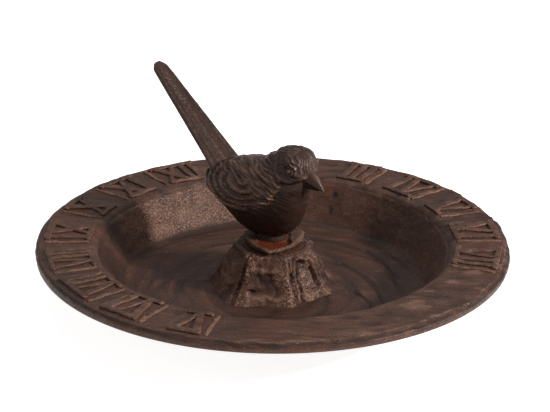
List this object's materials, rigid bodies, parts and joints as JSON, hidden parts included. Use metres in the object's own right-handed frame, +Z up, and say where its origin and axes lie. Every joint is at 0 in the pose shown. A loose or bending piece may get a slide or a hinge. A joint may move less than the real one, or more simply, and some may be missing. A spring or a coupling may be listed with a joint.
{
  "type": "sundial birdbath",
  "caption": "Round cast-iron birdbath dish with raised Roman hour numerals on its rim and a bird on a rock whose cocked tail casts the hour shadow.",
  "frame": {"origin": "centre of the foot ring on the ground plane", "axes": "+Z up along the bird's pivot bolt, +Y towards the noon numeral, +X towards the afternoon side"},
  "size_m": [0.28, 0.28, 0.1277],
  "materials": {
    "dish_iron": "matt antique brown paint over a chiselled casting",
    "rock_iron": "matt antique brown with rubbed ridges",
    "rusty_slab": "rust-orange wash with dark broken edges",
    "bird_iron": "satin dark brown with rubbed feather tips",
    "bolt_steel": "zinc-plated",
    "seal_rubber": "matt"
  },
  "bodies": {
    "stand": {"dish": "dish_iron", "rock_mound": "rock_iron", "perch_slab": "rusty_slab", "washer": "bolt_steel", "rubber_seal": "seal_rubber"},
    "turning_bird": {"bird": "bird_iron", "tail_gnomon": "bird_iron", "pivot_bolt": "bolt_steel"}
  },
  "joints": [
    {"name": "bird_swivel", "type": "hinge", "parent": "stand", "child": "turning_bird", "pos_m": [0, 0, 0.0355], "axis": [0, 0, 1], "continuous": true}
  ]
}
